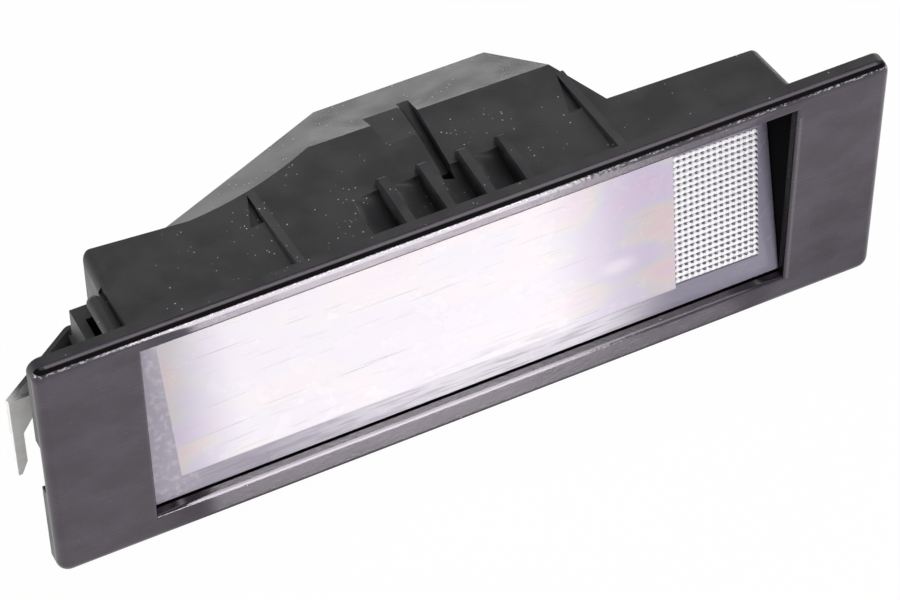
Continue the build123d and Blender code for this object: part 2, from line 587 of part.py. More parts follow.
with BuildPart() as spring_clip:
    with BuildSketch():
        with BuildLine():
            leg_x = BEND_X + BEND_RADIUS
            leaf_start = (BEND_X + BEND_RADIUS * cos(LEAF_TURN), TONGUE_DEPTH + BEND_RADIUS * sin(LEAF_TURN))
            Line((leg_x, TONGUE_DEPTH - CLIP_INNER_LEG), (leg_x, TONGUE_DEPTH))
            CenterArc((BEND_X, TONGUE_DEPTH), BEND_RADIUS, 0, degrees(LEAF_TURN))
            Line(leaf_start, (-CLIP_REACH, BARB_DEPTH))
        trace(line_width=CLIP_STRIP)
    extrude(amount=CLIP_WIDTH / 2, both=True)
    block((-BEZEL_LENGTH, BEND_X - BEND_RADIUS - CLIP_STRIP), (0, TONGUE_DEPTH + BEND_RADIUS),
          (-CLIP_WIDTH, CLIP_LEAF_BOTTOM), mode=Mode.SUBTRACT)
    with BuildSketch(depth_plane(CLIP_BARB_GAP)):
        top = CLIP_WIDTH / 2
        leg_edge = CLIP_LEG_WIDTH - CLIP_REACH
        barb_edge = CLIP_BARB_LENGTH - CLIP_REACH
        Polygon((-CLIP_REACH, top), (barb_edge, top), (barb_edge, top - CLIP_BARB_HEIGHT),
                (leg_edge, CLIP_LEG_START), (leg_edge, CLIP_TIP_HEIGHT - top),
                (CLIP_TIP_WIDTH - CLIP_REACH, -top), (-CLIP_REACH, -top), align=None)
    extrude(amount=-CLIP_STRIP)

front_bezel.part.label = "front_bezel"
housing.part.label = "housing"
lens.part.label = "lens"
reflector.part.label = "reflector"
bulb_glass.part.label = "bulb_glass"
bulb_cap_left.part.label = "bulb_cap_left"
bulb_cap_right.part.label = "bulb_cap_right"
bulb_filament.part.label = "bulb_filament"
contact_left.part.label = "contact_left"
contact_right.part.label = "contact_right"
spring_clip.part.label = "spring_clip"

os.makedirs("parts", exist_ok=True)
export_step(front_bezel.part, "parts/front_bezel.step")
export_step(housing.part, "parts/housing.step")
export_step(lens.part, "parts/lens.step")
export_step(reflector.part, "parts/reflector.step")
export_step(bulb_glass.part, "parts/bulb_glass.step")
export_step(bulb_cap_left.part, "parts/bulb_cap_left.step")
export_step(bulb_cap_right.part, "parts/bulb_cap_right.step")
export_step(bulb_filament.part, "parts/bulb_filament.step")
export_step(contact_left.part, "parts/contact_left.step")
export_step(contact_right.part, "parts/contact_right.step")
export_step(spring_clip.part, "parts/spring_clip.step")
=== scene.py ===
"""Number plate lamp on a pale studio floor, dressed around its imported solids."""
from math import cos, radians, sin

import bmesh
import bpy
from mathutils import Matrix, Vector


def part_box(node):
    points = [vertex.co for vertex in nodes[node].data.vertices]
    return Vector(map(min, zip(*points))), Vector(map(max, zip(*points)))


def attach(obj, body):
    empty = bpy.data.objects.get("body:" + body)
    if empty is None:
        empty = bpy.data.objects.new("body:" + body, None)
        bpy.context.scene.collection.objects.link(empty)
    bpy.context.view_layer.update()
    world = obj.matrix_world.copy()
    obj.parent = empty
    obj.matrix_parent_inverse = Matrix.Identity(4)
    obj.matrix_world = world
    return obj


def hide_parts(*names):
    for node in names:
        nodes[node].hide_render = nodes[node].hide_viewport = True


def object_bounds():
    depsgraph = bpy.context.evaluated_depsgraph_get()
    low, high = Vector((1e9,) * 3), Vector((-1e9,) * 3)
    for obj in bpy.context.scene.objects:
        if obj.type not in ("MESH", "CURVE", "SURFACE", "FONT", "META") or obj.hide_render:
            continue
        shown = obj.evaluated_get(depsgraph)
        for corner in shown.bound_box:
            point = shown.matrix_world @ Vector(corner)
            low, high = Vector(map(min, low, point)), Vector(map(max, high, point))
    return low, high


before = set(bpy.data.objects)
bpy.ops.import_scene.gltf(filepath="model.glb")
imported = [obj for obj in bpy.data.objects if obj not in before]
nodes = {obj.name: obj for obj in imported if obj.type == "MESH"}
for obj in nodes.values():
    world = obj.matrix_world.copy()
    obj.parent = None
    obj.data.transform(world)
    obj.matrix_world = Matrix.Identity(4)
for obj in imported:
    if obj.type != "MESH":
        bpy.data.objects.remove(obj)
cad_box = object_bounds()
MM = 0.001

# Lens: sizes in millimetres, across its own face before it is tilted
LENS_TILT = radians(14.25)
LENS_DEPTH = 1.9
LENS_THICKNESS = 1.4
LENS_EDGE = 0.15
WINDOW_LEFT = -32.6
WINDOW_BOTTOM = -9.4
WINDOW_RIM = 0.15
FLUTE_HEIGHT = 0.06
FLUTE_CUTS = (100, 2)  # of the window's ends, in two rounds
DOT_COLUMNS = 14
DOT_ROWS = 22
DOT_PITCH = 0.71
DOT_CENTRE = (29.5, -1.3)
DOT_COLUMN_LEAN = radians(4.0)
DOT_ROW_TURN = radians(0.8)
DOT_DEPTH = 0.28
# Steps of a dome from its foot to its top: how far each narrows and rises, and the cut of its corners
DOT_STEPS = ((0.04, 0.08, 0.17), (0.08, 0.11, 0), (0.1, 0.07, 0))
DOT_LEAN = 0.03
DOT_FIELD_RIM = 0.02
BLOCK_HALF_WIDTH = DOT_COLUMNS * DOT_PITCH / 2
BLOCK_HALF_HEIGHT = DOT_ROWS * DOT_PITCH / 2
SMOOTH_ANGLE = radians(45)

# Picking faces and edges: how closely a direction agrees, and how near a place lies in millimetres
SQUARE_ON = 0.99
UPRIGHT = 0.9
NEAR = 0.01

# In the finishes below, places are in millimetres, and a pair says where a change starts and ends

# Bezel: how far the shading of its long bars leans up and that of its sill leans forward, and where
BAR_CROWN = 0.48
SILL_CROWN = -1.2
SILL_LEVEL = -11.7
SILL_REACH = 0.4
CROWN_FADE = (36.2, 29.0)

# Bezel: the top rim, the sides of the opening, the painted highlight on the lip at its right and the duller
# lower right part
RIM_LEVELS = (12.0, 13.0)
CHEEK_LIMIT = 36.4
HIGHLIGHT_LIP_LEFT = (36.3, 36.45)
HIGHLIGHT_LIP_RIGHT = (36.8, 36.6)
HIGHLIGHT_LIP_HALF_HEIGHT = 12.0
DULL_LEFT = (30.0, 42.0)
DULL_LEVELS = (10.0, -12.0)

# Housing: half sizes of the painted shade inside, the duller sunk panel, and where dust gathers by the fins
INSIDE_PAINTED_SHADE_HALVES = (36.5, 7.0, 12.5)
PANEL_MIDDLE = (-1.2, 14.7)
PANEL_HALVES = (2.2, 2.75)
PANEL_LEVELS = (11.0, 11.5)
FINS_LEFT = (-30.0, -16.0)
FINS_RIGHT = (14.0, 4.0)

# Lens: the painted shade at the window's ends and its marks, then the border's painted light and shade and
# its marks
WINDOW_PAINTED_SHADE_RIGHT = (8.0, 22.0)
WINDOW_PAINTED_SHADE_LEFT = (-24.0, -34.0)
RUB_LEVELS = (-2.0, -8.5)
GLARE_PLACE = (17.6, 1.0, -3.9)
GLARE_REACH = (1.2, 0.2)
NICK_TURN = radians(38)
WINDOW_BLUR = 0.1
BLOCK_BLUR = 0.05
BORDER_PAINTED_SHADE = (10.0, 26.0)
LIT_LEFT = (-30.0, -2.0)
LIT_RIGHT = (24.0, 12.0)
STREAK_LEVELS = (-8.5, -9.5)
HAZE_LEFT = (-30.0, -32.0)

# Clip: the painted shade at its root and along the upper edge of its strip
CLIP_PAINTED_SHADE_ROOT = (4.8, 8.0)
CLIP_PAINTED_SHADE_EDGE_LEFT = (-48.0, -46.0)

# Stage: the floor, the sky and the lights (place, target and size in metres, power in watts)
FLOOR_SIZE = 6
FLOOR_GAP = 0.2 * MM
FLOOR_GLOW = 0.98
SKY_HEIGHTS = (0.1, 0.4)
SKY_LEVELS = (1.0, 0.28)
LIGHTS = (
    ("front_panel", (0.067, -0.28, 0.055), (-0.006, 0, 0.01), (0.085, 0.13), 0.48),
    ("back_strip", (0.2, 0.6, 0.035), (0, 0.01, 0.01), (1.0, 0.08), 1.1),
    ("overhead_fill", (0.15, 0.05, 0.6), (0, 0, 0), (0.4, 0.4), 1.2),
    ("side_fill", (-0.45, 0.02, 0.08), (-0.045, 0.005, 0), (0.15, 0.15), 0.7),
)

# Camera: place, lens and sensor in millimetres, directions, and nearest seen distance in metres
CAMERA_PLACE = (-110.9, -221.9, 274.0)
CAMERA_RIGHT = (0.8951, -0.4459, -0.0062)
CAMERA_AHEAD = (0.2955, 0.6035, -0.7406)
CAMERA_LENS = 146
CAMERA_SENSOR = 36
CAMERA_NEAR = 0.01


# Mesh helpers
def select_faces(piece, wanted):
    """Select only the faces whose centre and normal are wanted."""
    bpy.ops.mesh.select_mode(type="FACE")
    bpy.ops.mesh.select_all(action="DESELECT")
    mesh = bmesh.from_edit_mesh(piece.data)
    for face in mesh.faces:
        if wanted(face.calc_center_median() / MM, face.normal):
            face.select_set(True)
    bmesh.update_edit_mesh(piece.data)


def select_edges(piece, wanted):
    """Select only the edges whose middle and direction are wanted."""
    bpy.ops.mesh.select_mode(type="EDGE")
    bpy.ops.mesh.select_all(action="DESELECT")
    mesh = bmesh.from_edit_mesh(piece.data)
    for edge in mesh.edges:
        first, last = edge.verts
        if wanted((first.co + last.co) / 2 / MM, (last.co - first.co).normalized()):
            edge.select_set(True)
    bmesh.update_edit_mesh(piece.data)


def cut(piece, wanted, place, normal):
    """Cut the wanted faces along a plane."""
    select_faces(piece, wanted)
    bpy.ops.mesh.bisect(plane_co=Vector(place) * MM, plane_no=normal)


# Lens plate with its fluted window and its block of small domes
def make_lens():
    corner_low, corner_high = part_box("lens")
    half_length = corner_high[0] / MM
    low = (corner_low[2] / MM + LENS_THICKNESS * sin(LENS_TILT)) / cos(LENS_TILT)
    high = corner_high[2] / MM / cos(LENS_TILT)
    bpy.ops.object.select_all(action="DESELECT")
    centre = Vector((0, LENS_THICKNESS / 2, (low + high) / 2)) * MM
    bpy.ops.mesh.primitive_cube_add(size=MM, location=centre,
                                    scale=(2 * half_length, LENS_THICKNESS, high - low))
    lens = bpy.context.object
    lens.name = "lens_plate"
    bpy.ops.object.transform_apply(location=True, rotation=True, scale=True)
    bpy.ops.object.mode_set(mode="EDIT")
    bpy.ops.mesh.select_all(action="SELECT")
    bpy.ops.mesh.bevel(offset=LENS_EDGE * MM, segments=2, affect="EDGES")

    # Lines that part the border, the window and the block of domes on the front face
    across = Vector((cos(DOT_COLUMN_LEAN), 0, -sin(DOT_COLUMN_LEAN)))
    along = Vector((sin(DOT_ROW_TURN), 0, cos(DOT_ROW_TURN)))
    middle = Vector((DOT_CENTRE[0], 0, DOT_CENTRE[1]))

    def in_block(point):
        offset = point - middle
        return abs(offset.dot(across)) < BLOCK_HALF_WIDTH and abs(offset.dot(along)) < BLOCK_HALF_HEIGHT

    def on_front(point, normal):
        return normal.y < -SQUARE_ON

    def left_of_block(point, normal):
        return on_front(point, normal) and (point - middle).dot(across) < -BLOCK_HALF_WIDTH

    def right_of_window(point, normal):
        return on_front(point, normal) and (point - middle).dot(across) > -BLOCK_HALF_WIDTH

    def in_block_column(point, normal):
        return right_of_window(point, normal) and (point - middle).dot(across) < BLOCK_HALF_WIDTH

    def past_left_border(point, normal):
        return left_of_block(point, normal) and point.x > WINDOW_LEFT

    def in_window(point, normal):
        return past_left_border(point, normal) and point.z > WINDOW_BOTTOM

    def on_block(point, normal):
        return on_front(point, normal) and in_block(point)

    cut(lens, on_front, middle - across * BLOCK_HALF_WIDTH, across)
    cut(lens, left_of_block, (WINDOW_LEFT, 0, 0), (1, 0, 0))
    cut(lens, past_left_border, (0, 0, WINDOW_BOTTOM), (0, 0, 1))
    cut(lens, right_of_window, middle + across * BLOCK_HALF_WIDTH, across)
    for side in (1, -1):
        cut(lens, in_block_column, middle + along * BLOCK_HALF_HEIGHT * side, along)

    # Flutes: a ladder of narrow strips whose every second line stands up
    select_faces(lens, in_window)
    bpy.ops.mesh.inset(thickness=WINDOW_RIM * MM, depth=-FLUTE_HEIGHT * MM)
    floor_top = high - LENS_EDGE - WINDOW_RIM
    floor_bottom = WINDOW_BOTTOM + WINDOW_RIM

    def on_window_end(point, direction):
        at_end = min(abs(point.z - floor_top), abs(point.z - floor_bottom)) < NEAR
        return at_end and abs(point.y - FLUTE_HEIGHT) < NEAR and abs(direction.x) > SQUARE_ON

    for cuts in FLUTE_CUTS:
        select_edges(lens, on_window_end)
        bpy.ops.mesh.subdivide(number_cuts=cuts)
    bpy.ops.mesh.select_all(action="DESELECT")
    mesh = bmesh.from_edit_mesh(lens.data)
    upright = [edge for edge in mesh.edges
               if abs((edge.verts[0].co - edge.verts[1].co).normalized().z) > UPRIGHT
               and all(abs(corner.co.y / MM - FLUTE_HEIGHT) < NEAR for corner in edge.verts)]
    upright.sort(key=lambda edge: edge.verts[0].co.x + edge.verts[1].co.x)
    for edge in upright[1::2]:
        edge.select_set(True)
    bmesh.update_edit_mesh(lens.data)
    bpy.ops.transform.translate(value=(0, -FLUTE_HEIGHT * MM, 0))

    # Domes: a sunk field parted into squares, whose corners are cut and which rise in steps towards the top
    select_faces(lens, on_block)
    bpy.ops.mesh.inset(thickness=DOT_FIELD_RIM * MM, depth=-DOT_DEPTH * MM)
    for cuts, direction_wanted in ((DOT_COLUMNS - 1, across), (DOT_ROWS - 1, along)):
        select_edges(lens, lambda point, direction: abs(direction.dot(direction_wanted)) > SQUARE_ON
                     and abs(point.y - DOT_DEPTH) < NEAR)
        bpy.ops.mesh.subdivide(number_cuts=cuts)
    for width, rise, corner in DOT_STEPS:
        select_faces(lens, on_block)
        bpy.ops.mesh.inset(thickness=width * MM, depth=rise * MM, use_individual=True)
        if corner:
            bpy.ops.mesh.bevel(offset=corner * MM, segments=1, affect="VERTICES")
        else:
            bpy.ops.transform.translate(value=(0, 0, DOT_LEAN * MM))
    bpy.ops.object.mode_set(mode="OBJECT")

    # Tilt it into its seat
    lens.rotation_euler = (-LENS_TILT, 0, 0)
    lens.location = (0, LENS_DEPTH * MM, 0)
    bpy.ops.object.transform_apply(location=True, rotation=True, scale=True)
    bpy.ops.object.shade_smooth_by_angle(angle=SMOOTH_ANGLE)
    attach(lens, "root")
    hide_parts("lens")
    return lens


lens_plate = make_lens()


# Node helpers
def wire(tree, kind, sockets=None, **settings):
    """New node with its settings, and its sockets set to values or linked to outputs."""
    made = tree.nodes.new("ShaderNode" + kind)
    for name, value in settings.items():
        setattr(made, name, value)
    for name, value in (sockets or {}).items():
        if isinstance(value, bpy.types.NodeSocket):
            tree.links.new(value, made.inputs[name])
        else:
            made.inputs[name].default_value = value
    return made


def new_finish(name, roughness, **constants):
    """New node material: its tree, its shader, and its place in millimetres."""
    finish = bpy.data.materials.new(name)
    finish.use_nodes = True
    tree = finish.node_tree
    shader = tree.nodes["Principled BSDF"]
    shader.inputs["Roughness"].default_value = roughness
    for socket, value in constants.items():
        shader.inputs[socket.replace("_", " ")].default_value = value
    place = wire(tree, "TexCoord").outputs["Object"]
    place = wire(tree, "VectorMath", {0: place, "Scale": 1 / MM}, operation="SCALE").outputs[0]
    return finish, tree, shader, place


def stretched(tree, place, scale):
    """Place scaled along each axis, to draw a pattern out."""
    return wire(tree, "Mapping", {"Vector": place, "Scale": scale}).outputs[0]


def clouds(tree, place, size, detail=3.0, low=0.0, high=1.0, start=0.3, end=0.7):
    """Soft patches of a given size in millimetres, from low to high."""
    noise = wire(tree, "TexNoise", {"Vector": place, "Scale": 1 / size, "Detail": detail})
    spread = wire(tree, "MapRange", {"Value": noise.outputs["Fac"], "From Min": start, "From Max": end,
                                     "To Min": low, "To Max": high}, interpolation_type="SMOOTHSTEP")
    return spread.outputs[0]


def specks(tree, place, spacing, radius, share):
    """Small round specks: one in each cell of the given spacing, on a share of the cells."""
    cells = wire(tree, "TexVoronoi", {"Vector": place, "Scale": 1 / spacing, "Randomness": 1.0})
    chance = wire(tree, "SeparateColor", {"Color": cells.outputs["Color"]})
    size = wire(tree, "MapRange", {"Value": chance.outputs["Green"], "To Min": 0.3 * radius / spacing,
                                   "To Max": radius / spacing})
    near = wire(tree, "Math", {0: cells.outputs["Distance"], 1: size.outputs[0]}, operation="LESS_THAN")
    kept = wire(tree, "Math", {0: chance.outputs["Red"], 1: share}, operation="LESS_THAN")
    return times(tree, near.outputs[0], kept.outputs[0])


def times(tree, first, second):
    return wire(tree, "Math", {0: first, 1: second}, operation="MULTIPLY").outputs[0]


def plus(tree, first, second):
    """Sum, held between 0 and 1."""
    return wire(tree, "Math", {0: first, 1: second}, operation="ADD", use_clamp=True).outputs[0]


def minus(tree, first, second, use_clamp=False):
    return wire(tree, "Math", {0: first, 1: second}, operation="SUBTRACT", use_clamp=use_clamp).outputs[0]


def absolute(tree, value):
    return wire(tree, "Math", {0: value}, operation="ABSOLUTE").outputs[0]


def parts(tree, vector):
    """Parts of a vector along X, Y and Z."""
    return wire(tree, "SeparateXYZ", {"Vector": vector}).outputs


def ramp(tree, value, start, end, low=0.0, high=1.0):
    """Value spread from low to high between start and end."""
    return wire(tree, "MapRange", {"Value": value, "From Min": start, "From Max": end, "To Min": low,
                                   "To Max": high}, interpolation_type="SMOOTHSTEP").outputs[0]


def band(tree, value, rising, falling):
    """1 between a rising and a falling edge, fading to 0 outside them."""
    return times(tree, ramp(tree, value, *rising), ramp(tree, value, *falling))


def within(tree, value, middle, half):
    """1 where the value lies no further than half from the middle, else 0."""
    return wire(tree, "Math", {0: value, 1: middle, 2: half}, operation="COMPARE").outputs[0]


def measure(tree, place, direction):
    """Distance along a direction."""
    return wire(tree, "VectorMath", {0: place, 1: direction}, operation="DOT_PRODUCT").outputs["Value"]


def cell_share(tree, value, start, pitch):
    """Place within one of a row of cells, from 0 to 1."""
    steps = times(tree, minus(tree, value, start), 1 / pitch)
    return wire(tree, "Math", {0: steps}, operation="FRACT").outputs[0]


def mixed(tree, share, first, second, blend_type="MIX"):
    """Two colours mixed by a share."""
    first, second = [(*color, 1) if isinstance(color, tuple) else color for color in (first, second)]
    made = wire(tree, "Mix", {0: share, 6: first, 7: second}, data_type="RGBA", blend_type=blend_type)
    return made.outputs[2]


def bumped(tree, shader, height, distance, normal=None):
    """Bump of the given height in millimetres on a shader, over a normal of its own where one is given."""
    bump = wire(tree, "Bump", {"Height": height, "Distance": distance * MM})
    if normal:
        tree.links.new(normal, bump.inputs["Normal"])
    tree.links.new(bump.outputs[0], shader.inputs["Normal"])


def dress(piece, finish):
    piece.data.materials.clear()
    piece.data.materials.append(finish)


# Finishes
def bezel_finish():
    """Satin black moulding with smudges, fine scratches and specks, with painted shade and painted
    highlights on its rim and in its opening; its bars and its sill are crowned.
    """
    finish, tree, shader, place = new_finish("satin_black_bezel", 0.3, IOR=1.6,
                                             Specular_Tint=(1.0, 0.92, 1.0, 1))
    axes = parts(tree, place)
    normal = wire(tree, "NewGeometry").outputs["Normal"]
    facing = parts(tree, normal)
    at_rim = ramp(tree, axes["Z"], *RIM_LEVELS)

    # Smudged black with fine rubbed marks
    smudge = clouds(tree, stretched(tree, place, (0.7, 1, 1.3)), 4.0, detail=7.0)
    rub = clouds(tree, stretched(tree, place, (0.12, 1, 1.5)), 0.4, detail=2.0, start=0.58, end=0.75)
    color = mixed(tree, smudge, (0.018, 0.014, 0.022), (0.038, 0.031, 0.044))
    color = mixed(tree, times(tree, rub, 0.1), color, (0.08, 0.075, 0.085))

    # A dark band along the top rim, partly its seam and partly painted shade where the rolled edge faces
    # up; painted shade on the sides of the opening, and a painted highlight along a lip at the right
    seam_and_painted_shade = times(tree, band(tree, facing["Z"], (0.58, 0.66), (0.95, 0.86)), at_rim)
    sideways = absolute(tree, facing["X"])
    # Painted shade on the sideways-facing sides of the opening
    painted_shade_cheek = times(tree, within(tree, axes["X"], 0, CHEEK_LIMIT), ramp(tree, sideways, 0.7, 0.95))
    shaded = plus(tree, seam_and_painted_shade, painted_shade_cheek)
    color = mixed(tree, shaded, color, (0.006, 0.006, 0.006))
    # Painted highlight: a pale line along the lip at the right of the opening
    painted_highlight_lip = band(tree, axes["X"], HIGHLIGHT_LIP_LEFT, HIGHLIGHT_LIP_RIGHT)
    painted_highlight_lip = times(tree, painted_highlight_lip, within(tree, axes["Z"], 0, HIGHLIGHT_LIP_HALF_HEIGHT))
    color = mixed(tree, times(tree, painted_highlight_lip, 0.35), color, (0.16, 0.16, 0.16))

    # Pale specks along the rim, partly moulding flash and partly painted glints where the rolled edge faces
    # the light, and dust
    flash_and_painted_glint = clouds(tree, stretched(tree, place, (0.5, 1, 1)), 0.2, detail=2.0, start=0.48, end=0.62)
    flash_and_painted_glint = times(tree, flash_and_painted_glint, clouds(tree, place, 5.0, start=0.3, end=0.55))
    brow = band(tree, facing["Z"], (0.36, 0.44), (0.64, 0.58))
    flash_and_painted_glint = times(tree, flash_and_painted_glint, times(tree, brow, at_rim))
    color = mixed(tree, times(tree, flash_and_painted_glint, 0.8), color, (0.42, 0.41, 0.44))
    dust = plus(tree, specks(tree, place, 3.0, 0.12, 0.3), specks(tree, place, 1.1, 0.07, 0.08))
    color = mixed(tree, dust, color, (0.6, 0.6, 0.6))
    tree.links.new(color, shader.inputs["Base Color"])

    # Sheen: smoother on the rolled edges, hardly any in the shaded places, less at the lower right
    worn = plus(tree, times(tree, smudge, 0.06), 0.21)
    worn = plus(tree, worn, times(tree, rub, 0.07))
    rolled = within(tree, facing["Z"], 0.5, 0.33)
    worn = wire(tree, "Mix", {0: rolled, 2: worn, 3: 0.1}).outputs[0]
    tree.links.new(worn, shader.inputs["Roughness"])
    dull = times(tree, ramp(tree, axes["X"], *DULL_LEFT), ramp(tree, axes["Z"], *DULL_LEVELS, 0.0, 0.45))
    dull = ramp(tree, plus(tree, shaded, dull), 0, 1, 0.5, 0.04)
    tree.links.new(dull, shader.inputs["Specular IOR Level"])

    # Crown of the long bars and of the sill under the lens
    between = ramp(tree, absolute(tree, axes["X"]), *CROWN_FADE)
    upward = wire(tree, "Math", {0: facing["Z"], 1: 0.0}, operation="MAXIMUM").outputs[0]
    lift = minus(tree, BAR_CROWN, upward, use_clamp=True)
    bar = times(tree, times(tree, between, lift), ramp(tree, facing["Y"], -0.6, -0.9))
    sill = times(tree, between, within(tree, axes["Z"], SILL_LEVEL, SILL_REACH))
    sill = times(tree, sill, ramp(tree, facing["Z"], 0.6, 0.9))
    crown = wire(tree, "CombineXYZ", {"Y": times(tree, sill, SILL_CROWN), "Z": bar}).outputs[0]
    crown = wire(tree, "VectorMath", {0: normal, 1: crown}, operation="ADD").outputs[0]
    crown = wire(tree, "VectorMath", {0: crown}, operation="NORMALIZE").outputs[0]
    peel = clouds(tree, place, 0.5, detail=2.0, start=0.2, end=0.8)
    bumped(tree, shader, plus(tree, times(tree, peel, 0.3), dust), 0.01, crown)
    return finish


def housing_finish():
    """Matt moulded black with a fine grain, dusty patches and pale specks; cleaner inside, with painted
    shade there.
    """
    finish, tree, shader, place = new_finish("moulded_black_housing", 0.5, IOR=1.5)
    patch = clouds(tree, place, 4.0, detail=4.0)
    color = mixed(tree, patch, (0.027, 0.027, 0.030), (0.040, 0.040, 0.043))
    axes = parts(tree, place)

    # Dust, most of it by the fins
    by_fins = band(tree, axes["X"], FINS_LEFT, FINS_RIGHT)
    gather = clouds(tree, place, 4.0, detail=2.0, start=0.45, end=0.65)
    gather = times(tree, gather, plus(tree, times(tree, by_fins, 0.8), 0.2))
    fine = specks(tree, place, 0.45, 0.08, times(tree, gather, 0.7))
    coarse = specks(tree, place, 0.8, 0.085, 0.08)
    dust = plus(tree, fine, coarse)
    color = mixed(tree, dust, color, (0.55, 0.55, 0.54))

    # Painted shade over the inside, and a duller sunk panel
    painted_shade_inside = within(tree, axes["X"], 0, INSIDE_PAINTED_SHADE_HALVES[0])
    painted_shade_inside = times(tree, painted_shade_inside, within(tree, axes["Y"], 0, INSIDE_PAINTED_SHADE_HALVES[1]))
    painted_shade_inside = times(tree, painted_shade_inside, within(tree, axes["Z"], 0, INSIDE_PAINTED_SHADE_HALVES[2]))
    color = mixed(tree, painted_shade_inside, color, (0.008, 0.008, 0.009))
    tree.links.new(color, shader.inputs["Base Color"])
    tree.links.new(plus(tree, times(tree, patch, 0.12), 0.36), shader.inputs["Roughness"])
    panel = times(tree, within(tree, axes["X"], PANEL_MIDDLE[0], PANEL_HALVES[0]),
                  within(tree, axes["Y"], PANEL_MIDDLE[1], PANEL_HALVES[1]))
    panel = times(tree, panel, ramp(tree, axes["Z"], *PANEL_LEVELS, 0.0, 0.5))
    sheen = ramp(tree, plus(tree, painted_shade_inside, panel), 0, 1, 0.5, 0.0)
    tree.links.new(sheen, shader.inputs["Specular IOR Level"])
    grain = clouds(tree, place, 0.22, detail=2.0, start=0.2, end=0.8)
    bumped(tree, shader, plus(tree, times(tree, grain, 0.6), dust), 0.012)
    return finish


